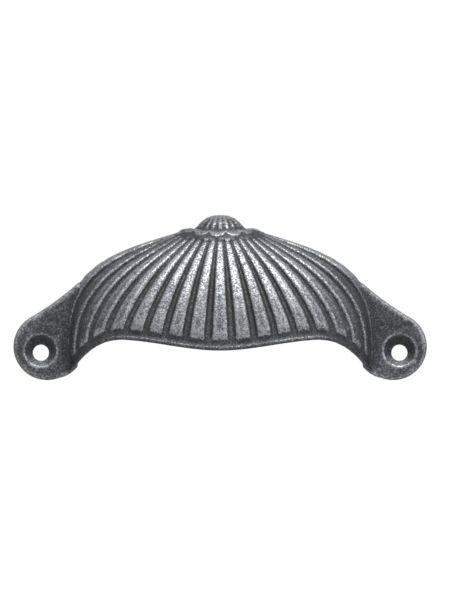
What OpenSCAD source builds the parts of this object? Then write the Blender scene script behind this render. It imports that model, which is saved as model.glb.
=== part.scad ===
// Cast cup pull shaped as half a ribbed parasol, with two flat screw ears.
// Lengths in millimetres. X runs right, Z up, and the front faces -Y.
// The back plane is y = 0 and the screw holes lie on z = 0.

/* [Cup] */
// Half width of the cup where it meets the wall plane
cup_half_w = 40.4; // [38:0.1:42]
// How far the cup's lip stands out from the wall plane
cup_depth = 23; // [18:0.5:30]
// Height of the collar ring at the wall above the screw holes
collar_z = 33.5; // [28:0.1:40]
// How much lower the collar ring lies at the front
collar_dip = 0.6; // [0:0.1:2]
// Wall thickness under the ribs at the lip
wall_t = 2.6; // [2:0.1:4]

/* [Lip] */
// Height of the lip at its middle
lip_mid_z = 0.75; // [-2:0.1:4]
// Rise of the lip's bow to either side of the middle
lip_bow = 2.9; // [0:0.1:5]
// Distance from the middle to the top of each bow
bow_x = 28; // [22:0.5:32]
// Distance from the middle where the lip starts to fall to the wall
fall_x = 25.5; // [20:0.5:30]
// Drop of the lip from the bow to the wall
lip_fall = 9.35; // [5:0.1:12]
// Height of the plain band under the rib ends
band_h = 2.2; // [1:0.1:4]
// Height of the raised bead along the lip
bead_h = 1.1; // [0.5:0.1:2]
// How far the bead stands proud of the plain band
bead_t = 0.5; // [0:0.1:1]

/* [Ribs] */
// Number of raised ribs across the cup
rib_count = 19; // [13:2:25]
// Height of each rib above the groove floor
rib_t = 1.15; // [0.4:0.05:1.6]
// Rib height where it leaves the petals
rib_root_t = 0.4; // [0.2:0.05:1]
// Length of the rounded rib end above the plain band
rib_end_l = 1.8; // [0.5:0.1:4]
// Degrees by which the quarter ribs lean towards the middle at the lip
lean_angle = 3.6; // [0:0.1:6]

/* [Crown] */
// Radius of the boss at its foot
boss_r = 6.9; // [5:0.1:9]
// Height of the boss above the collar ring
boss_h = 4.2; // [2:0.1:6]
// Depth of the flutes cut in the boss
flute_t = 0.5; // [0:0.05:0.8]
// Depth of the dark groove round the foot of the boss
foot_t = 0.1; // [0:0.05:0.6]
// Height of the upper petal row over the cup
petal_hi_t = 0.85; // [0.6:0.05:1.6]
// Height of the lower petal row over the cup
petal_lo_t = 0.55; // [0.3:0.05:0.8]

/* [Ears] */
// Distance between the two screw holes
hole_gap = 96.4; // [92:0.1:102]
// Diameter of each screw hole
hole_d = 4.3; // [3:0.1:5]
// Diameter of each countersink at the ear's face
sink_d = 8.8; // [6:0.1:9.4]
// Depth of each countersink
sink_t = 2.2; // [1:0.1:2.5]
// How far the countersink lies above the hole
sink_up = 0.6; // [0:0.1:0.9]
// Thickness of each ear
ear_t = 3; // [2.5:0.1:4]
// Radius of each ear's round end
ear_r = 9.05; // [8:0.05:10]
// How far the round end reaches past the screw hole
ear_reach = 7.35; // [7.2:0.05:9]
// Height of the round end's centre above the screw holes
ear_z = 1.7; // [0:0.1:3]
// Radius of the worn edge round each ear
ear_edge_r = 0.9; // [0.3:0.1:1.5]

/* [Hidden] */
iron = [0.42, 0.43, 0.45];

pitch = 180 / rib_count;
// Share of the rib pitch at which each column of points lies
rib_shares = [0, 0.1, 0.19, 0.32, 0.5, 0.68, 0.81, 0.9];
// Share of the rib's height at each of those columns
form_shares = [0, 0.06, 0.84, 0.97, 1, 0.97, 0.84, 0.06];
steps = len(rib_shares);
cols = rib_count * steps;
in_every = steps / 2;
in_cols = cols / in_every;

// Superellipse powers of a meridian, outward and upward, at the front and at the wall
out_shares = [1.1, 0.85];
up_shares = [1.3, 5.5];
// Power that makes the front stand out sooner than the sides, 1 for none
bulge_share = 0.78;
// Petal width in ribs, and how far the rows are turned, in ribs
petal_ribs = 3;
petal_turn_share = -0.5;
// Petal edges at the tips and at the notches, as shares of the way out from the ring
hi_shares = [0.05, 0.1];
lo_shares = [0.12, 0.155];
step_share = 0.012;
// Rows of points, as shares of the boss radius and as counts down the ribs and the hollow
boss_shares = [0.3, 0.55, 0.76, 0.91, 1];
rib_rows = 13;
in_rows = 10;
samples = 44;
in_ring_share = 0.7;
tiny_share = 0.0001;
look_angle = 0.4;

ear_x = hole_gap / 2 + ear_reach - ear_r;
// Ends of the ear's round end, as angles about its centre
arc_angles = [-112, 56];
arc_count = 24;
top_count = 5;
low_count = 6;
// Width of the plain ring kept round the countersink
seat_rim = 1;
seat_r = sink_d / 2 + seat_rim;
// Buried corners of the ear, inward from the cup's side and up from the round end
top_in = 2.4;
top_up = 8.2;
low_in = 2.1;
low_up = 3.6;
// How far the two bends bow out between the round end and the cup
top_bow = 3.7;
low_bow = 0.3;

function ease(t) = let(c = max(0, min(1, t))) c * c * (3 - 2 * c);
function mix(a, b, t) = a + (b - a) * t;
function unit(v) = v / max(norm(v), tiny_share);

// Angle of each column about the boss, -90 at the left wall to 90 at the right
function col_turn(i) =
    let(k = floor(i / steps), s = i - k * steps)
    i >= cols ? 90 : -90 + pitch * (k + rib_shares[s]);
function col_form(i) = i >= cols ? 0 : form_shares[i - floor(i / steps) * steps];

// How far a meridian has turned from the front form to the wall form
function turn_share(f) = pow(1 - cos(f), 2.8);
function form_p(f) = mix(out_shares[0], out_shares[1], turn_share(f));
function form_q(f) = mix(up_shares[0], up_shares[1], turn_share(f));

// Height of the lip over the screw holes, by the distance from the middle
function lip_z(x) =
    lip_mid_z + lip_bow * ease(abs(x) / bow_x)
    - lip_fall * pow(max(0, abs(x) - fall_x) / (cup_half_w - fall_x), 2.4);
function ring_z(f) = collar_z - collar_dip * cos(f);

// Turn about the boss once the lean is taken off, by the share h of the way out
function leant(f, h) = f - sign(f) * lean_angle * h * pow(sin(2 * f), 2);

// Point of the smooth cup: f turns about the boss, t runs 0 at the ring to 90 at the lip
function cup_pt(f, t, inset, rc) =
    let(
        h = pow(sin(t), 2 / form_p(f)),
        c = pow(max(cos(t), 0), 2 / form_q(f)),
        rx = mix(rc, cup_half_w - inset, h),
        ry = mix(rc, cup_depth - inset, pow(h, bulge_share)),
        turn = leant(f, h),
        zl = lip_z((cup_half_w - inset) * sin(leant(f, 1))),
        zr = ring_z(f) - inset
    )
    [rx * sin(turn), -ry * cos(turn), mix(zl, zr, c)];

// Outward normal of the smooth cup, kept in the wall plane at the wall
function cup_n(f, t) =
    let(
        ta = max(t, 2),
        a = cup_pt(f - look_angle, ta, 0, boss_r),
        b = cup_pt(f + look_angle, ta, 0, boss_r),
        c = cup_pt(f, ta - look_angle, 0, boss_r),
        d = cup_pt(f, min(ta + look_angle, 89.9), 0, boss_r),
        n = unit(cross(d - c, b - a)),
        flat = abs(f) > 89.99 ? 0 : 1
    )
    unit([n[0], n[1] * flat, n[2]]);

// Running length along a meridian, as [t, length] pairs
function run_t(i) = 90 * (1 - pow(1 - i / samples, 1.8));
function runs(f, inset, rc) =
    let(p = [for (i = [0:samples]) cup_pt(f, run_t(i), inset, rc)])
    [for (i = 0, s = 0; i <= samples; i = i + 1, s = i > samples ? s : s + norm(p[i] - p[i - 1]))
        [run_t(i), s]];
function flip(tab) = [for (r = tab) [r[1], r[0]]];

// Petal edges as shares of the way out from the ring
function petal_at(f, shift) =
    let(w = (f / pitch - petal_turn_share) / petal_ribs + shift)
    abs(w - round(w)) * 2;
function hi_edge(f) = mix(hi_shares[1], hi_shares[0], pow(petal_at(f, 0), 2.5));
function lo_edge(f) = mix(lo_shares[1], lo_shares[0], pow(petal_at(f, 0.5), 0.8));
function share_t(f, h) = asin(pow(h, form_p(f) / 2));

// One column of outer points, from the foot of the boss down to the lip
function crown_col(f) =
    let(hi = hi_edge(f), lo = lo_edge(f))
    [for (r = [
            [0.006, -foot_t],
            [0.02, petal_hi_t * 0.4],
            [hi * 0.6, petal_hi_t * 0.85],
            [hi, petal_hi_t],
            [hi + step_share, petal_lo_t],
            [lo, petal_lo_t * 0.9]
        ])
        let(t = share_t(f, r[0]))
        cup_pt(f, t, 0, boss_r) + cup_n(f, t) * r[1]];

function rib_lift(form, g, drop) =
    form * mix(rib_root_t, rib_t, ease(g * 2.2)) * sqrt(ease((drop - band_h) / rib_end_l));
function bead_lift(drop) = bead_t * (1 - ease((drop - bead_h * 0.6) / (bead_h * 0.7)));

function rib_col(f, form) =
    let(
        tab = runs(f, 0, boss_r),
        back = flip(tab),
        total = tab[samples][1],
        start = lookup(share_t(f, lo_edge(f) + step_share), tab),
        low = band_h + rib_end_l,
        downs = concat(
            [for (j = [0:rib_rows]) total - mix(start, total - low, j / rib_rows)],
            [for (k = [0.5, 0.15]) band_h + rib_end_l * k],
            [band_h * 0.8, bead_h * 1.25, bead_h * 0.7, 0]
        )
    )
    [for (d = downs)
        let(
            t = lookup(total - d, back),
            g = (total - d - start) / total,
            over = rib_lift(form, g, d) + (d < bead_h * 0.2 ? bead_t * 0.2 : bead_lift(d))
        )
        cup_pt(f, t, 0, boss_r) + cup_n(f, t) * over];

// Boss rows, from just off its tip down to its foot
function boss_col(f) =
    [for (e = boss_shares)
        let(
            wave = (1 - cos(180 * f / pitch)) / 2,
            flute = flute_t * wave * wave * e * e * (e < 1 ? 1 : 0.5),
            r = boss_r * e - flute
        )
        [r * sin(f), -r * cos(f), ring_z(f * e) + boss_h * (1 - pow(e, 2.5)) - flute * 0.5]];

function outer_col(i) =
    let(f = col_turn(i))
    concat(boss_col(f), crown_col(f), rib_col(f, col_form(i)));

// One column of the smooth hollow, from near the axis down to the lip
function inner_col(i) =
    let(
        f = col_turn(i * in_every),
        rc = boss_r * in_ring_share,
        tab = runs(f, wall_t, rc),
        back = flip(tab)
    )
    [for (j = [0:in_rows]) cup_pt(f, lookup(tab[samples][1] * j / in_rows, back), wall_t, rc)];

// Place in a list of the point that lies nearest to p
function nearest(p, list) =
    let(d = [for (q = list) norm(p - q)])
    search(min(d), d)[0];

// Triangles between two rows of point numbers; mates gives each outer point's inner partner
function strip(outer, inner, mates) =
    [for (j = [0:len(outer) - 2])
        each concat(
            [[outer[j], inner[mates[j]], outer[j + 1]]],
            mates[j + 1] > mates[j]
                ? [for (k = [mates[j]:mates[j + 1] - 1]) [outer[j + 1], inner[k], inner[k + 1]]]
                : []
        )];
function turned(tris) = [for (t = tris) [t[0], t[2], t[1]]];

module cup() {
    out = [for (i = [0:cols]) outer_col(i)];
    inn = [for (i = [0:in_cols]) inner_col(i)];
    no = len(out[0]);
    ni = len(inn[0]);
    o_at = 1;
    i_at = o_at + (cols + 1) * no;
    i_tip = i_at + (in_cols + 1) * ni;
    tip = [0, 0, ring_z(0) + boss_h + collar_dip * 0.1];
    in_tip = [0, 0, ring_z(0) - wall_t + collar_dip];
    pts = concat([tip], [for (c = out) for (p = c) p], [for (c = inn) for (p = c) p], [in_tip]);
    // Rows of point numbers down the wall, from the tip to the lip
    wall_o = concat([tip], out[0]);
    wall_i = concat([in_tip], inn[0]);
    near = [for (p = wall_o) nearest(p, wall_i)];
    mates = concat([0], [for (j = [1:no - 1]) near[j]], [ni]);
    left_o = concat([0], [for (j = [0:no - 1]) o_at + j]);
    left_i = concat([i_tip], [for (j = [0:ni - 1]) i_at + j]);
    right_o = concat([0], [for (j = [0:no - 1]) o_at + cols * no + j]);
    right_i = concat([i_tip], [for (j = [0:ni - 1]) i_at + in_cols * ni + j]);
    // Rows of point numbers along the lip, from left to right
    lip_o = [for (i = [0:cols]) o_at + i * no + no - 1];
    lip_i = [for (i = [0:in_cols]) i_at + i * ni + ni - 1];
    faces = concat(
        [for (i = [0:cols - 1]) [0, o_at + (i + 1) * no, o_at + i * no]],
        [for (i = [0:cols - 1], j = [0:no - 2])
            let(a = o_at + i * no + j, b = a + no)
            each col_form(i) > col_form(i + 1)
                ? [[a, b, a + 1], [b, b + 1, a + 1]]
                : [[a, b, b + 1], [a, b + 1, a + 1]]],
        [for (i = [0:in_cols - 1]) [i_tip, i_at + i * ni, i_at + (i + 1) * ni]],
        [for (i = [0:in_cols - 1], j = [0:ni - 2])
            let(a = i_at + i * ni + j, b = a + ni)
            each [[a, a + 1, b], [b, a + 1, b + 1]]],
        turned(strip(left_o, left_i, mates)),
        strip(right_o, right_i, mates),
        turned(strip(lip_o, lip_i, [for (i = [0:cols]) round(i / in_every)]))
    );
    polyhedron(points = pts, faces = faces, convexity = 10);
}

// Right ear's outline in the wall plane, anticlockwise, as [x, z]
function ear_arc(a0, a1, n) =
    [for (i = [0:n])
        let(a = mix(a0, a1, i / n))
        [ear_x + ear_r * cos(a), ear_z + ear_r * sin(a)]];
// Smooth bend between two points with a pull point between them
function bend(a, m, b, n) =
    [for (i = [1:n - 1])
        let(t = i / n)
        a * (1 - t) * (1 - t) + m * 2 * t * (1 - t) + b * t * t];
function ear_outline() =
    let(
        arc = ear_arc(arc_angles[0], arc_angles[1], arc_count),
        first = arc[0],
        last = arc[arc_count],
        top = [cup_half_w - top_in, ear_z + ear_r + top_up],
        low = [cup_half_w - low_in, ear_z - ear_r + low_up]
    )
    concat(
        arc,
        bend(last, [mix(last[0], top[0], 0.49), last[1] + top_bow], top, top_count),
        [top, low],
        bend(low, [mix(low[0], first[0], 0.5), first[1] + low_bow], first, low_count)
    );

module ear(side) {
    base = ear_outline();
    n = len(base);
    top_at = arc_count + top_count;
    // The two corners inside the cup's wall move only up or down
    norms = [for (i = [0:n - 1])
        let(d = unit(base[(i + 1) % n] - base[(i + n - 1) % n]))
        i == top_at ? [0, 1] : i == top_at + 1 ? [0, -1] : [d[1], -d[0]]];
    // Each layer as [y, inset] from the wall plane to the face
    layers = concat([[0, 0]], [for (a = [0, 30, 60, 90])
        [ear_edge_r - ear_t - ear_edge_r * sin(a), ear_edge_r * (1 - cos(a))]]);
    count = len(layers);
    ring = [for (i = [0:n - 1])
        let(a = arc_angles[0] + 360 * i / n)
        [hole_gap / 2 + seat_r * cos(a), sink_up + seat_r * sin(a)]];
    pts = concat(
        [for (l = layers) for (i = [0:n - 1])
            let(p = base[i] - norms[i] * l[1])
            [side * p[0], l[0], p[1]]],
        [for (y = [0, -ear_t]) for (p = ring) [side * p[0], y, p[1]]],
        [for (y = [0, -ear_t]) [side * hole_gap / 2, y, sink_up]]
    );
    top = (count - 1) * n;
    back_ring = count * n;
    face_ring = back_ring + n;
    mid = face_ring + n;
    faces = concat(
        [for (l = [0:count - 2], i = [0:n - 1])
            let(a = l * n + i, b = l * n + (i + 1) % n)
            each [[a, b + n, b], [a, a + n, b + n]]],
        [for (i = [0:n - 1])
            let(j = (i + 1) % n)
            each [
                [i, j, back_ring + i],
                [j, back_ring + j, back_ring + i],
                [mid, back_ring + i, back_ring + j],
                [top + i, face_ring + i, top + j],
                [top + j, face_ring + i, face_ring + j],
                [mid + 1, face_ring + j, face_ring + i]
            ]]
    );
    polyhedron(points = pts, faces = side > 0 ? faces : turned(faces), convexity = 6);
}

// Screw hole and countersink of one ear
module screw_cut(side) {
    sink_x = side * hole_gap / 2;
    slope = (sink_d - hole_d) / 2 / sink_t;
    translate([sink_x, ear_t, 0])
        rotate([90, 0, 0])
            cylinder(h = ear_t * 3, d = hole_d, $fn = 48);
    translate([sink_x, sink_t - ear_t, sink_up])
        rotate([90, 0, 0])
            cylinder(h = sink_t * 2, d1 = hole_d, d2 = hole_d + slope * sink_t * 4, $fn = 48);
}

module drilled_ear(side) {
    difference() {
        ear(side);
        screw_cut(side);
    }
}

module cup_pull() {
    color(iron)
        union() {
            cup();
            drilled_ear(1);
            drilled_ear(-1);
        }
}

cup_pull();
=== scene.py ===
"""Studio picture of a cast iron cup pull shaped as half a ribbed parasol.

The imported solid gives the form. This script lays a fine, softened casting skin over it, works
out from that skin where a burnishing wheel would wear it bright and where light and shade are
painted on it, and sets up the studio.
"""

import logging
import math
from dataclasses import dataclass, field
from enum import Enum
from typing import Any

import bmesh
import bpy
import numpy as np
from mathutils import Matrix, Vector
from mathutils.bvhtree import BVHTree
from mathutils.kdtree import KDTree

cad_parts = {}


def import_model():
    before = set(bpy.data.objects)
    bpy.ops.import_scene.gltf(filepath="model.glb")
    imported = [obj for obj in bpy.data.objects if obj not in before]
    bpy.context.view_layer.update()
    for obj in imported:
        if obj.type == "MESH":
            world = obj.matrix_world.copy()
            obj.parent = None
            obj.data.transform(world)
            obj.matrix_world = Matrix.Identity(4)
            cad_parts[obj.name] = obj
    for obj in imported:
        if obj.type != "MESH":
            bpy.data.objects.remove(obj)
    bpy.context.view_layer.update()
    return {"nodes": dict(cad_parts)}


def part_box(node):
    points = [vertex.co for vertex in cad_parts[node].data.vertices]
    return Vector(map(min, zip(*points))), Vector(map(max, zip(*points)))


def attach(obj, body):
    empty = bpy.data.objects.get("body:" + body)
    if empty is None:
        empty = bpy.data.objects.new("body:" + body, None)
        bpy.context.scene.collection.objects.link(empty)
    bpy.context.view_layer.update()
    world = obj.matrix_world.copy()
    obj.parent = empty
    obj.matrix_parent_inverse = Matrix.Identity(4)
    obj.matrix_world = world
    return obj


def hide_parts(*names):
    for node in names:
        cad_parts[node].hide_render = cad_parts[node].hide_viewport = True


LOG = logging.getLogger("cup_pull")
MM = 0.001
NOISE_MIDDLE = 0.5

Place = tuple[float, float, float]


class Attribute(Enum):
    """Names of the values that the skin carries for its finish and its painted light and shade.
    """

    WEAR_AND_PAINTED_LIGHT = "wear_and_painted_light"


def linear(code: str) -> tuple[float, float, float, float]:
    """Turns an sRGB hex colour to linear.

    Args:
        code: the colour as #rrggbb.

    Returns:
        Linear red, green and blue, and an alpha of one.
    """
    parts = [int(code[i : i + 2], 16) / 255 for i in (1, 3, 5)]
    red, green, blue = (
        c / 12.92 if c <= 0.04045 else ((c + 0.055) / 1.055) ** 2.4 for c in parts
    )
    return (red, green, blue, 1.0)


def ramp(value: np.ndarray, start: float, full: float) -> np.ndarray:
    """Rises from 0 at start to 1 at full, and stays level beyond them.

    Args:
        value: the values to place.
        start: the value that gives 0.
        full: the value that gives 1, above or below start.

    Returns:
        The share of the way that each value has gone, 0 to 1.
    """
    return np.clip((value - start) / (full - start), 0, 1)


def add_object(name: str, data: bpy.types.ID) -> bpy.types.Object:
    """Puts an object into the scene.

    Args:
        name: the object's name.
        data: its mesh, lamp or camera.

    Returns:
        The new object.
    """
    thing = bpy.data.objects.new(name, data)
    bpy.context.scene.collection.objects.link(thing)
    return thing


def add_node(
    tree: bpy.types.NodeTree,
    kind: str,
    settings: dict[str, Any] | None = None,
    inputs: dict[str | int, Any] | None = None,
) -> bpy.types.Node:
    """Adds one shader node with its settings and links.

    Args:
        tree: the node tree that takes the node.
        kind: Blender's name of the node type.
        settings: node properties by name.
        inputs: values or output sockets by input name or number.

    Returns:
        The new node.
    """
    node = tree.nodes.new(kind)
    for name, value in (settings or {}).items():
        setattr(node, name, value)
    for name, value in (inputs or {}).items():
        if isinstance(value, bpy.types.NodeSocket):
            tree.links.new(value, node.inputs[name])
        else:
            node.inputs[name].default_value = value
    return node


def empty_material(name: str) -> tuple[bpy.types.Material, bpy.types.NodeTree]:
    """Makes a material with a clear node tree.

    Args:
        name: the material's name.

    Returns:
        The material and its node tree.
    """
    material = bpy.data.materials.new(name)
    material.use_nodes = True
    material.node_tree.nodes.clear()
    return material, material.node_tree


@dataclass(frozen=True)
class Speckle:
    """One size of speckle: its spacing, its noise detail and how far it shifts the wear and
    painted light.
    """

    size_mm: float
    detail: float
    gain: float


@dataclass(frozen=True)
class BurnishedCastIron:
    """Grey cast iron, sand cast, blackened and then burnished.

    The sand leaves a fine grain, the blackening stays in the grooves as a dull oxide that is
    hardly metallic, and the wheel brings the crests and edges back to bright, speckled metal.
    """

    # The tones by wear and painted light: a corner blackened and painted in shade, blackened
    # recess, dull skin, worn iron, bright iron.
    tones: tuple[tuple[float, str], ...] = (
        (0.0, "#17181b"),
        (0.13, "#303136"),
        (0.3, "#414348"),
        (0.55, "#5c5e63"),
        (1.0, "#8f9196"),
    )
    # Sand grain lies about 0.2 mm apart, less than a pixel, so it is drawn coarser to show.
    grain: Speckle = Speckle(0.45, 3.0, 2.0)
    # Small pits where gas left the mould, which stay dark among bright metal.
    pits: Speckle = Speckle(1.1, 4.0, 0.6)
    # Slow patches where the wheel pressed more or less, so that no two ribs look alike.
    blotch: Speckle = Speckle(7.0, 3.0, 0.4)
    grain_height_mm: float = 0.06
    pit_height_share: float = 0.6
    bump_strength: float = 0.8
    recess_rough: float = 0.65
    bright_rough: float = 0.34
    recess_metal: float = 0.1
    bright_metal: float = 0.85

    def build(self) -> bpy.types.Material:
        """Builds the material.

        Returns:
            The material, which reads the skin's value of wear and painted light and shade.
        """
        material, tree = empty_material("burnished_cast_iron")
        place = add_node(tree, "ShaderNodeTexCoord").outputs["Object"]
        speckles = (self.grain, self.pits, self.blotch)
        noises = [
            add_node(
                tree,
                "ShaderNodeTexNoise",
                inputs={
                    "Vector": place,
                    "Scale": 1 / (speckle.size_mm * MM),
                    "Detail": speckle.detail,
                },
            ).outputs["Fac"]
            for speckle in speckles
        ]
        wear_and_painted_light = self._wear_and_painted_light(tree, noises, [speckle.gain for speckle in speckles])
        colour = add_node(tree, "ShaderNodeValToRGB", inputs={"Fac": wear_and_painted_light})
        self._set_tones(colour)
        rough, metal = (
            add_node(
                tree,
                "ShaderNodeMapRange",
                inputs={"Value": wear_and_painted_light, "To Min": recess, "To Max": bright},
            ).outputs["Result"]
            for recess, bright in (
                (self.recess_rough, self.bright_rough),
                (self.recess_metal, self.bright_metal),
            )
        )
        height = add_node(
            tree,
            "ShaderNodeMath",
            {"operation": "MULTIPLY_ADD"},
            {0: noises[1], 1: self.pit_height_share, 2: noises[0]},
        )
        bump = add_node(
            tree,
            "ShaderNodeBump",
            inputs={
                "Strength": self.bump_strength,
                "Distance": self.grain_height_mm * MM,
                "Height": height.outputs[0],
            },
        )
        shader = add_node(
            tree,
            "ShaderNodeBsdfPrincipled",
            inputs={
                "Base Color": colour.outputs["Color"],
                "Roughness": rough,
                "Metallic": metal,
                "Normal": bump.outputs["Normal"],
            },
        )
        add_node(
            tree, "ShaderNodeOutputMaterial", inputs={"Surface": shader.outputs["BSDF"]}
        )
        return material

    @staticmethod
    def _wear_and_painted_light(
        tree: bpy.types.NodeTree,
        noises: list[bpy.types.NodeSocket],
        gains: list[float],
    ) -> bpy.types.NodeSocket:
        """Speckles the skin's value of wear and painted light and shade.

        Args:
            tree: the node tree.
            noises: the speckles' noise values, which vary about their middle.
            gains: how far each noise shifts the wear.

        Returns:
            The value, from 0 in a corner painted in shade to 1 on the brightest metal.
        """
        wear_and_painted_light = add_node(
            tree, "ShaderNodeAttribute", {"attribute_name": Attribute.WEAR_AND_PAINTED_LIGHT.value}
        ).outputs["Fac"]
        for noise, gain in zip(noises, gains):
            centred = add_node(
                tree,
                "ShaderNodeMath",
                {"operation": "SUBTRACT"},
                {0: noise, 1: NOISE_MIDDLE},
            )
            wear_and_painted_light = add_node(
                tree,
                "ShaderNodeMath",
                {"operation": "MULTIPLY_ADD"},
                {0: centred.outputs[0], 1: gain, 2: wear_and_painted_light},
            ).outputs[0]
        return add_node(tree, "ShaderNodeClamp", inputs={"Value": wear_and_painted_light}).outputs[0]

    def _set_tones(self, node: bpy.types.Node) -> None:
        """Puts the tones of the iron on a colour ramp.

        Args:
            node: the colour ramp node.
        """
        elements = node.color_ramp.elements
        first, *middle, last = self.tones
        for element, (wear_and_painted_light, tone) in zip((elements[0], elements[-1]), (first, last)):
            element.position = wear_and_painted_light
            element.color = linear(tone)
        for wear_and_painted_light, tone in middle:
            elements.new(wear_and_painted_light).color = linear(tone)


@dataclass(frozen=True)
class PaintedBoard:
    """Board with matt emulsion rolled on, which reads as a plain pale table.

    A medium roller's stipple, about 3 mm apart, keeps it from looking like bare light.
    """

    colour: str = "#f2f2f1"
    roughness: float = 0.8
    stipple_mm: float = 3.0
    stipple_height_mm: float = 0.1
    bump_strength: float = 0.1

    def build(self) -> bpy.types.Material:
        """Builds the material.

        Returns:
            The material.
        """
        material, tree = empty_material("painted_board")
        place = add_node(tree, "ShaderNodeTexCoord").outputs["Object"]
        stipple = add_node(
            tree,
            "ShaderNodeTexNoise",
            inputs={"Vector": place, "Scale": 1 / (self.stipple_mm * MM)},
        )
        bump = add_node(
            tree,
            "ShaderNodeBump",
            inputs={
                "Strength": self.bump_strength,
                "Distance": self.stipple_height_mm * MM,
                "Height": stipple.outputs["Fac"],
            },
        )
        shader = add_node(
            tree,
            "ShaderNodeBsdfPrincipled",
            inputs={
                "Base Color": linear(self.colour),
                "Roughness": self.roughness,
                "Normal": bump.outputs["Normal"],
            },
        )
        add_node(
            tree, "ShaderNodeOutputMaterial", inputs={"Surface": shader.outputs["BSDF"]}
        )
        return material


@dataclass(frozen=True)
class SkinShape:
    """What the skin's shape says at each vertex, with lengths in millimetres.

    relief: how far it stands out from the broad surface round it.
    edge: how sharply it stands out, or sinks in where negative.
    depth, height: how far it stands off the wall, and how high above the screw holes.
    side, flank: how far it and the broad surface round it face sideways, 0 to 1.
    upward: how far it faces up, -1 to 1.
    lip: how near it lies to the lip's underside, 0 to 1.
    line, crease: how near it lies to a raised and to a sunk line of the solid, 0 to 1.
    """

    relief: np.ndarray
    edge: np.ndarray
    depth: np.ndarray
    height: np.ndarray
    side: np.ndarray
    flank: np.ndarray
    upward: np.ndarray
    lip: np.ndarray
    line: np.ndarray
    crease: np.ndarray


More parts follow.
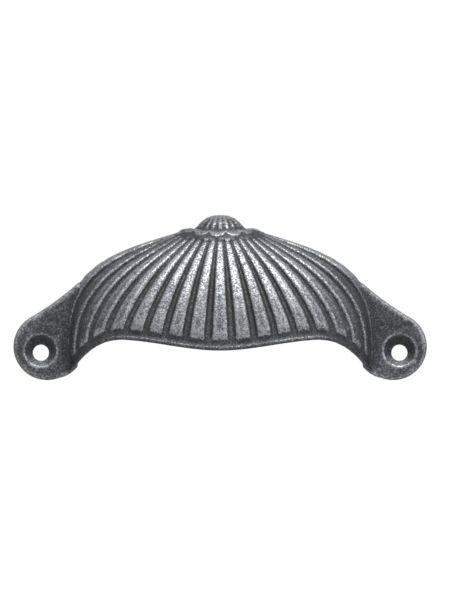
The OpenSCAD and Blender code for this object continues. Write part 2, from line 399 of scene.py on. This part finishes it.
@dataclass(frozen=True)
class WheelAndPaintedLight:
    """How the burnishing wheel wears the casting and where light and shade are painted on it,
    with lengths in millimetres.

    The wheel works from above and in front. It polishes what stands out and leaves the grooves
    dark. The flanks beside the ears and the corners are painted dark as painted shade, and
    faces that turn towards or away from the light are painted lighter or darker as painted
    light and shade. The value is 0 for a corner painted in shade and 1 for bright metal.
    """

    # The dull skin's own wear, and the least and the most that the wheel leaves.
    skin_wear: float = 0.14
    band: tuple[float, float] = (0.04, 0.74)

    # Crests are polished by how far they stand out.
    low_mm: float = 0.0
    high_mm: float = 0.35
    raised_gain: float = 0.66

    # Edges are polished by how sharp they are, and hollows are darkened by it, partly as
    # blackening left in them and partly as painted shade.
    edge_gain: float = 8.0
    edge_most: float = 0.75
    hollow_oxide_and_shade_gain: float = 8.0
    line_gain: float = 0.2
    crease_oxide_and_shade_gain: float = 0.45

    # The wheel reaches least near the wall, fully further out, and better above the crown.
    wall_mm: float = 2.0
    full_mm: float = 11.0
    wall_reach: float = 0.34
    crown_mm: float = 30.0
    crown_gain: float = 1.5

    # The lower ends of the ribs are painted darker towards the bottom, and the rounding under
    # the lip, which faces down, is painted darker as painted shade.
    lower_mm: float = 12.0
    lower_share: float = 0.4
    lip_shade_share: float = 0.65

    # Faces of the cup that turn sideways are painted darker, partly as less wear and partly as
    # painted shade, other than near the crown.
    side_from: float = 0.3
    side_full: float = 0.72
    side_wear_and_shade_share: float = 0.9
    side_edge_wear_and_shade_share: float = 0.75
    fade_mm: float = 12.0

    # Flanks that face sideways as a whole, beside the ears, are painted nearly black as painted
    # shade.
    flank_from: float = 0.7
    flank_full: float = 0.95
    flank_shade_share: float = 0.9

    # On steep flanks a rib's inner edge is painted lighter as painted highlight, and its outer
    # edge darker as painted shade.
    steep_from: float = 0.2
    steep_full: float = 0.45
    lean_step: float = 0.1
    lean_light_and_shade_share: float = 0.75

    # The foot of a steep flank, where it meets the ear, is painted dark as painted shade.
    foot_end_mm: float = 8.5
    foot_full_mm: float = 5.5
    foot_shade_share: float = 0.3

    # The ears end and the cup starts between these depths.
    ear_end_mm: float = 2.85
    cup_start_mm: float = 3.35
    ear_dim: float = 0.03
    ear_edge_gain: float = 0.6

    # On the ears, edges and countersink walls that face up are painted lighter as painted light
    # from above, and those that face down are painted duller as painted shade.
    rising_from: float = 0.12
    rising_full: float = 0.5
    rising_light_gain: float = 0.3
    falling_full: float = 0.4
    falling_shade_share: float = 0.6

    # The boss is polished evenly, its flutes as well as its crests.
    boss_mm: float = 33.8
    boss_share: float = 0.35
    boss_wear: float = 0.36

    def wear_and_painted_light(self, shape: SkinShape) -> np.ndarray:
        """Works out how bright each vertex is worn, and paints light and shade on it.

        Args:
            shape: what the skin's shape says.

        Returns:
            The wear, from below 0 in a corner to the top of the band on a crest.
        """
        cup = ramp(shape.depth, self.ear_end_mm, self.cup_start_mm)
        wear_and_painted_light = self.skin_wear - self.ear_dim * (1 - cup)
        wear_and_painted_light += self._raised(shape) * self._reach(shape, cup) + self._sharp(shape, cup)
        wear_and_painted_light = np.clip(wear_and_painted_light, *self.band)
        # Painted shade on the rounding under the lip, which faces down.
        wear_and_painted_light *= 1 - self.lip_shade_share * shape.lip
        # Painted shade on flanks that face sideways as a whole.
        wear_and_painted_light *= 1 - self.flank_shade_share * ramp(
            shape.flank, self.flank_from, self.flank_full
        )
        # Painted shade at the foot of steep flanks, where they meet the ears.
        foot_shade = cup * ramp(shape.depth, self.foot_end_mm, self.foot_full_mm)
        return wear_and_painted_light - self.foot_shade_share * foot_shade * self._steep(shape)

    def _raised(self, shape: SkinShape) -> np.ndarray:
        """Gives what a crest gains by standing out.

        Args:
            shape: what the skin's shape says.

        Returns:
            The gain in wear where the wheel reaches fully.
        """
        share = ramp(shape.relief, self.low_mm, self.high_mm)
        raised = self.raised_gain * share * share * (3 - 2 * share)
        even = self.boss_share * raised + (1 - self.boss_share) * self.boss_wear
        return np.where(self._boss(shape), even, raised)

    def _reach(self, shape: SkinShape, cup: np.ndarray) -> np.ndarray:
        """Gives how well the wheel reaches each vertex, with painted light and shade by which
        way a face turns, and darker towards the bottom.

        Args:
            shape: what the skin's shape says.
            cup: 1 on the cup and 0 on the ears.

        Returns:
            The reach, about 0 to 1, and more on the inner edge of a steep rib as painted
            highlight.
        """
        above = np.clip(shape.height - self.crown_mm, 0, None)
        stand = shape.depth + self.crown_gain * above
        open_share = ramp(stand, self.wall_mm, self.full_mm)
        reach = self.wall_reach + (1 - self.wall_reach) * open_share
        # Faces that turn sideways: partly less wear and partly painted shade.
        reach *= 1 - self.side_wear_and_shade_share * self._turned(shape, cup)
        # Painted highlight on a steep rib's inner edge and painted shade on its outer one.
        reach *= 1 - self.lean_light_and_shade_share * self._lean(shape)
        # Painted shade on ear faces that look down.
        reach *= 1 - self.falling_shade_share * self._falling(shape, cup)
        # Darker towards the bottom.
        return reach * (1 - self.lower_share * ramp(shape.height, self.lower_mm, 0))

    def _sharp(self, shape: SkinShape, cup: np.ndarray) -> np.ndarray:
        """Gives what edges gain, what hollows lose as blackening and painted shade, and the
        painted light on ear faces that look up.

        Args:
            shape: what the skin's shape says.
            cup: 1 on the cup and 0 on the ears.

        Returns:
            The change in wear and painted light and shade.
        """
        edge = np.minimum(self.edge_gain * shape.edge, self.edge_most)
        # Edges that turn sideways: partly less wear and partly painted shade.
        edge *= 1 - self.side_edge_wear_and_shade_share * self._turned(shape, cup)
        # Painted highlight on a steep rib's inner edge and painted shade on its outer one.
        edge *= 1 - self.lean_light_and_shade_share * self._lean(shape) * cup
        # Painted shade on ear edges that look down.
        edge *= 1 - self.falling_shade_share * self._falling(shape, cup)
        edge *= 1 + self.ear_edge_gain * (1 - cup)
        rising = self._rising(shape, cup)
        # Hollows are darkened partly as blackening and partly as painted shade.
        hollow = self.hollow_oxide_and_shade_gain * shape.edge * (1 - rising)
        # Painted light on ear faces that look up.
        sharp = np.where(shape.edge > 0, edge, hollow) + self.rising_light_gain * rising
        # Sunk lines are darkened partly as blackening and partly as painted shade.
        sharp += self.line_gain * shape.line - self.crease_oxide_and_shade_gain * shape.crease
        return sharp * np.where(self._boss(shape), self.boss_share, 1)

    def _turned(self, shape: SkinShape, cup: np.ndarray) -> np.ndarray:
        """Tells how far a face of the cup below the crown turns sideways, 0 to 1."""
        below = ramp(shape.height, self.crown_mm, self.crown_mm - self.fade_mm)
        return cup * below * ramp(shape.side, self.side_from, self.side_full)

    def _steep(self, shape: SkinShape) -> np.ndarray:
        """Tells how far a vertex lies on a steep flank, 0 to 1."""
        return ramp(shape.flank, self.steep_from, self.steep_full)

    def _lean(self, shape: SkinShape) -> np.ndarray:
        """Tells outer from inner edges of the ribs on steep flanks, 1 to -1."""
        lean = np.clip((shape.side - shape.flank) / self.lean_step, -1, 1)
        return lean * self._steep(shape)

    def _rising(self, shape: SkinShape, cup: np.ndarray) -> np.ndarray:
        """Tells how far a face of an ear looks up, 0 to 1."""
        return (1 - cup) * ramp(shape.upward, self.rising_from, self.rising_full)

    def _falling(self, shape: SkinShape, cup: np.ndarray) -> np.ndarray:
        """Tells how far a face of an ear looks down, 0 to 1."""
        return (1 - cup) * ramp(-shape.upward, 0, self.falling_full)

    def _boss(self, shape: SkinShape) -> np.ndarray:
        """Tells whether a vertex lies on the boss."""
        return shape.height > self.boss_mm


@dataclass
class Casting:
    """The one-piece iron casting: ribbed cup, boss, petals and ears."""

    node: str
    source: bpy.types.Object
    wheel_and_painted_light: WheelAndPaintedLight = field(default_factory=WheelAndPaintedLight)
    finish: BurnishedCastIron = field(default_factory=BurnishedCastIron)

    # The skin: fine enough for the petals' steps, softened as sand leaves it, then thinned.
    voxel_mm: float = 0.26
    soften_turns: int = 3
    most_triangles: int = 190_000

    # How many times neighbours are averaged for each measure. More turns look further.
    close_turns: int = 3
    edge_turns: int = 9
    broad_turns: int = 75
    relief_turns: int = 130
    lip_turns: int = 60
    lip_gain: float = 2.5

    # What parts the outer face from the lip's underside, the hollow and the back: a point in
    # the hollow that the face looks away from, and limits on how the broad normals point.
    middle: Place = (0.0, -6 * MM, 8 * MM)
    wall_ring_mm: float = 4.0
    under_normal: float = -0.5
    front_normal: float = -0.3
    back_normal: float = 0.5
    inner_wear: float = 0.1

    # The wall's thickness is looked for from just under the skin. Where it jumps from one
    # vertex to the next, a rim lies between them.
    wall_jump_mm: float = 0.6
    wall_skip_mm: float = 0.3
    wall_most_mm: float = 12.0

    # Lines of the solid: how sharply they turn, how near its corners are joined, how closely
    # the lines are followed and how wide they show.
    crease_deg: float = 20.0
    weld_mm: float = 0.005
    line_step_mm: float = 0.15
    line_width_mm: float = 0.35
    crease_width_mm: float = 0.5

    def build(self) -> bpy.types.Object:
        """Builds the skin, burnishes it, paints light and shade on it and dresses it.

        Returns:
            The finished object.
        """
        low, high = (np.array(corner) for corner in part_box(self.node))
        mesh = self._skin()
        ends = self._rows(mesh.edges, "vertices", 2, np.int32)
        place = self._rows(mesh.vertices, "co", 3, np.float32).astype(float)
        place = self._smoothed(place, ends, self.soften_turns)
        place = np.clip(place, low, high)
        mesh.vertices.foreach_set("co", place.astype(np.float32).ravel())
        mesh.update()
        self._burnish_and_paint_light(mesh, place, ends)
        mesh = self._thinned(mesh)
        mesh.polygons.foreach_set("use_smooth", [True] * len(mesh.polygons))
        mesh.materials.clear()
        mesh.materials.append(self.finish.build())
        LOG.info("casting: %d faces", len(mesh.polygons))
        return add_object("casting", mesh)

    def _skin(self) -> bpy.types.Mesh:
        """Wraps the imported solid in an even, closed skin.

        Returns:
            The new mesh.
        """
        copy = add_object("even_skin", self.source.data.copy())
        copy.matrix_world = self.source.matrix_world
        remesh = copy.modifiers.new("even_skin", "REMESH")
        remesh.mode = "VOXEL"
        remesh.voxel_size = self.voxel_mm * MM
        remesh.adaptivity = 0.0
        return self._baked(copy)

    def _thinned(self, mesh: bpy.types.Mesh) -> bpy.types.Mesh:
        """Drops triangles where the skin is plain, and keeps its values.

        Args:
            mesh: the even skin.

        Returns:
            A mesh with no more than the wanted triangles.
        """
        triangles = sum(len(face.vertices) - 2 for face in mesh.polygons)
        copy = add_object("full_skin", mesh)
        thin = copy.modifiers.new("plain_parts", "DECIMATE")
        thin.ratio = min(1.0, self.most_triangles / triangles)
        return self._baked(copy)

    @staticmethod
    def _baked(copy: bpy.types.Object) -> bpy.types.Mesh:
        """Turns an object and its modifiers into a plain mesh.

        Args:
            copy: the object, which is dropped.

        Returns:
            The new mesh.
        """
        shown = copy.evaluated_get(bpy.context.evaluated_depsgraph_get())
        mesh = bpy.data.meshes.new_from_object(shown)
        mesh.name = "casting"
        bpy.data.objects.remove(copy, do_unlink=True)
        return mesh

    @staticmethod
    def _rows(items: Any, name: str, width: int, kind: type) -> np.ndarray:
        """Reads one value of every vertex or edge.

        Args:
            items: the mesh's vertices, edges or normals.
            name: Blender's name of the value.
            width: how many numbers it has.
            kind: the type of those numbers.

        Returns:
            One row an item.
        """
        flat = np.empty(len(items) * width, dtype=kind)
        items.foreach_get(name, flat)
        return flat.reshape(-1, width)

    @staticmethod
    def _smoothed(values: np.ndarray, ends: np.ndarray, turns: int) -> np.ndarray:
        """Averages each vertex's value with its neighbours'.

        Args:
            values: one row a vertex.
            ends: vertex pairs that share an edge.
            turns: how many times to average.

        Returns:
            The averaged rows.
        """
        count = len(values)
        first, second = ends[:, 0], ends[:, 1]
        share = np.bincount(first, minlength=count)
        share += np.bincount(second, minlength=count)
        result = values.copy()
        for _ in range(turns):
            total = np.zeros_like(result)
            for axis in range(result.shape[1]):
                column = result[:, axis]
                for one, other in ((first, second), (second, first)):
                    total[:, axis] += np.bincount(
                        one, weights=column[other], minlength=count
                    )
            mean = total / np.maximum(share, 1)[:, None]
            result = np.where(share[:, None] > 0, (result + mean) / 2, result)
        return result

    @staticmethod
    def _unit(rows: np.ndarray) -> np.ndarray:
        """Gives each row a length of one."""
        return rows / np.linalg.norm(rows, axis=1)[:, None]

    def _burnish_and_paint_light(
        self, mesh: bpy.types.Mesh, place: np.ndarray, ends: np.ndarray
    ) -> None:
        """Works out the wear and the painted light and shade of each vertex and stores them on
        the skin.

        Args:
            mesh: the skin.
            place: its vertices.
            ends: its edges.
        """
        normals = self._rows(mesh.vertex_normals, "vector", 3, np.float32).astype(float)
        broad = self._unit(self._smoothed(normals, ends, self.broad_turns))
        outer = self._outer(place, broad)
        shape = self._shape(mesh, place, ends, normals, broad, outer)
        wear_and_painted_light = np.where(outer, self.wheel_and_painted_light.wear_and_painted_light(shape), self.inner_wear)
        layer = mesh.attributes.new(Attribute.WEAR_AND_PAINTED_LIGHT.value, "FLOAT", "POINT")
        layer.data.foreach_set("value", wear_and_painted_light.astype(np.float32))
        LOG.info(
            "relief %.3f to %.3f mm, edge up to %.3f mm",
            shape.relief.min(),
            shape.relief.max(),
            shape.edge.max(),
        )

    def _shape(
        self,
        mesh: bpy.types.Mesh,
        place: np.ndarray,
        ends: np.ndarray,
        normals: np.ndarray,
        broad: np.ndarray,
        outer: np.ndarray,
    ) -> SkinShape:
        """Reads the skin's shape at each vertex.

        Args:
            mesh: the skin.
            place: its vertices.
            ends: its edges.
            normals: its outward normals.
            broad: the same, averaged broadly.
            outer: True for each vertex of the outer face.

        Returns:
            The shape.
        """
        close = self._unit(self._smoothed(normals, ends, self.close_turns))
        near = self._smoothed(place, ends, self.edge_turns)
        unbroken = self._unbroken(mesh, place, ends, broad, outer)
        base = self._smoothed(place, unbroken, self.relief_turns)
        depth = -place[:, 1] / MM
        under = (broad[:, 2] < self.under_normal) & (depth > self.wall_ring_mm)
        lip = self._smoothed(under[:, None].astype(float), ends, self.lip_turns)[:, 0]
        line, crease = self._lines(place)
        return SkinShape(
            relief=np.einsum("ij,ij->i", place - base, broad) / MM,
            edge=np.einsum("ij,ij->i", place - near, normals) / MM,
            depth=depth,
            height=place[:, 2] / MM,
            side=np.abs(close[:, 0]),
            flank=np.abs(broad[:, 0]),
            upward=close[:, 2],
            lip=np.clip(self.lip_gain * lip, 0, 1),
            line=line,
            crease=crease,
        )

    def _outer(self, place: np.ndarray, broad: np.ndarray) -> np.ndarray:
        """Tells the outer face from the lip's underside, the hollow and the back.

        Args:
            place: the skin's vertices.
            broad: their broad outward normals.

        Returns:
            True for each vertex of the outer face.
        """
        away = np.einsum("ij,ij->i", place - np.array(self.middle), broad) > 0
        low = place[:, 1] > -self.wall_ring_mm * MM
        away |= low & (broad[:, 1] < self.front_normal)
        over = (broad[:, 2] > self.under_normal) | low
        return away & over & (broad[:, 1] < self.back_normal)

    def _unbroken(
        self,
        mesh: bpy.types.Mesh,
        place: np.ndarray,
        ends: np.ndarray,
        broad: np.ndarray,
        outer: np.ndarray,
    ) -> np.ndarray:
        """Keeps the edges that cross no rim, so that no average runs round one.

        Args:
            mesh: the skin.
            place: its vertices.
            ends: its edges.
            broad: its broad outward normals.
            outer: True for each vertex of the outer face.

        Returns:
            The edges within one face.
        """
        wall = self._thickness(mesh, place, broad)
        first, second = ends[:, 0], ends[:, 1]
        even = np.abs(wall[first] - wall[second]) < self.wall_jump_mm
        return ends[even & (outer[first] == outer[second])]

    def _thickness(
        self, mesh: bpy.types.Mesh, place: np.ndarray, normals: np.ndarray
    ) -> np.ndarray:
        """Looks inwards from each vertex to the far side of the wall.

        Args:
            mesh: the skin.
            place: its vertices.
            normals: its broad outward normals.

        Returns:
            The wall's thickness at each vertex, in millimetres.
        """
        tree = BVHTree.FromPolygons(
            [Vector(row) for row in place],
            [tuple(face.vertices) for face in mesh.polygons],
        )
        found = np.full(len(place), self.wall_most_mm)
        skip = self.wall_skip_mm * MM
        for i, (point, normal) in enumerate(zip(place, normals)):
            inward = Vector(-normal)
            start = Vector(point) + inward * skip
            hit = tree.ray_cast(start, inward, self.wall_most_mm * MM)[3]
            if hit is not None:
                found[i] = (hit + skip) / MM
        return found

    def _lines(self, place: np.ndarray) -> tuple[np.ndarray, np.ndarray]:
        """Finds how near each vertex lies to the solid's raised and sunk lines.

        Args:
            place: the skin's vertices.

        Returns:
            The nearness to raised and to sunk lines, 0 to 1.
        """
        form = bmesh.new()
        form.from_mesh(self.source.data)
        bmesh.ops.remove_doubles(form, verts=form.verts, dist=self.weld_mm * MM)
        least = math.radians(self.crease_deg)
        raised: list[Vector] = []
        sunk: list[Vector] = []
        for edge in form.edges:
            if len(edge.link_faces) != 2:
                continue
            turn = edge.calc_face_angle_signed(0.0)
            if abs(turn) < least:
                continue
            first, second = (vert.co.copy() for vert in edge.verts)
            steps = 1 + int((second - first).length / (self.line_step_mm * MM))
            points = [first.lerp(second, i / steps) for i in range(steps + 1)]
            (raised if turn > 0 else sunk).extend(points)
        form.free()
        LOG.info("lines: %d raised points, %d sunk points", len(raised), len(sunk))
        return (
            self._nearness(place, raised, self.line_width_mm),
            self._nearness(place, sunk, self.crease_width_mm),
        )

    @staticmethod
    def _nearness(
        place: np.ndarray, points: list[Vector], width_mm: float
    ) -> np.ndarray:
        """Tells how near each vertex lies to a set of points.

        Args:
            place: the skin's vertices.
            points: the points.
            width_mm: the distance at which nearness falls to 0.

        Returns:
            The nearness, 1 on a point.
        """
        tree = KDTree(len(points))
        for i, point in enumerate(points):
            tree.insert(point, i)
        tree.balance()
        away = np.array([tree.find(row)[2] for row in place]) / MM
        return ramp(away, width_mm, 0)


@dataclass(frozen=True)
class SoftLamp:
    """An oblong soft lamp, with its place and its width and height in metres."""

    name: str
    place: Place
    size: tuple[float, float]
    watts: float

    def hang(self, target: Vector) -> None:
        """Hangs the lamp.

        Args:
            target: the point that it faces.
        """
        data = bpy.data.lights.new(self.name, "AREA")
        data.shape = "RECTANGLE"
        data.size, data.size_y = self.size
        data.energy = self.watts
        lamp = add_object(self.name, data)
        lamp.location = self.place
        aim = target - Vector(self.place)
        lamp.rotation_euler = aim.to_track_quat("-Z", "Y").to_euler()


@dataclass(frozen=True)
class Studio:
    """Table, soft lamps, white surround and camera."""

    target: Place = (1.3 * MM, -10 * MM, 14.2 * MM)
    frame_height: float = 160.4 * MM
    camera_distance: float = 1.6
    sensor_mm: float = 36.0
    table_size: float = 1.2
    table_z: float = -0.12
    surround: float = 0.2
    # The key lamp stands high in front and lays the sheen across the upper ribs. The fill
    # lamp lifts the right flank a little, as in the reference picture.
    lamps: tuple[SoftLamp, ...] = (
        SoftLamp("key", (0.06, -0.3, 0.7), (0.75, 0.36), 8.5),
        SoftLamp("fill", (0.75, -0.6, 0.3), (0.5, 0.5), 1.8),
    )

    def build(self) -> None:
        """Sets up everything round the casting."""
        self._table()
        self._world()
        for lamp in self.lamps:
            lamp.hang(Vector(self.target))
        self._camera()
        bpy.context.scene.view_settings.view_transform = "Standard"
        LOG.info("studio: a table, %d lamps and a camera", len(self.lamps))

    def _table(self) -> None:
        """Lays the pale table below the casting."""
        half = self.table_size / 2
        mesh = bpy.data.meshes.new("table")
        corners = [(-half, -half), (half, -half), (half, half), (-half, half)]
        mesh.from_pydata([(x, y, self.table_z) for x, y in corners], [], [(0, 1, 2, 3)])
        mesh.materials.append(PaintedBoard().build())
        table = add_object("table", mesh)

    def _world(self) -> None:
        """Makes the surround white to look at and a plain level as light."""
        world = bpy.data.worlds.new("white_surround")
        world.use_nodes = True
        tree = world.node_tree
        tree.nodes.clear()
        path = add_node(tree, "ShaderNodeLightPath")
        seen = path.outputs["Is Camera Ray"]
        for name in ("Is Glossy Ray", "Is Transmission Ray"):
            seen = add_node(
                tree,
                "ShaderNodeMath",
                {"operation": "MAXIMUM"},
                {0: seen, 1: path.outputs[name]},
            ).outputs[0]
        strength = add_node(
            tree,
            "ShaderNodeMapRange",
            inputs={"Value": seen, "To Min": self.surround, "To Max": 1.0},
        )
        light = add_node(
            tree,
            "ShaderNodeBackground",
            inputs={
                "Color": (1.0, 1.0, 1.0, 1.0),
                "Strength": strength.outputs["Result"],
            },
        )
        add_node(
            tree,
            "ShaderNodeOutputWorld",
            inputs={"Surface": light.outputs["Background"]},
        )
        bpy.context.scene.world = world

    def _camera(self) -> None:
        """Sets a long lens square to the casting's front."""
        data = bpy.data.cameras.new("camera")
        data.sensor_fit = "VERTICAL"
        data.sensor_height = self.sensor_mm
        data.lens = self.sensor_mm * self.camera_distance / self.frame_height
        camera = add_object("camera", data)
        aim = Vector((0.0, self.camera_distance, 0.0))
        camera.location = Vector(self.target) - aim
        camera.rotation_euler = aim.to_track_quat("-Z", "Y").to_euler()
        bpy.context.scene.camera = camera


def main() -> None:
    """Loads the frame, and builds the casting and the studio."""
    logging.basicConfig(level=logging.INFO, format="%(name)s: %(message)s")
    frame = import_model()
    node = "cup_pull"
    skin = Casting(node, frame["nodes"][node]).build()
    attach(skin, "root")
    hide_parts(node)
    Studio().build()


if __name__ == "__main__":
    main()
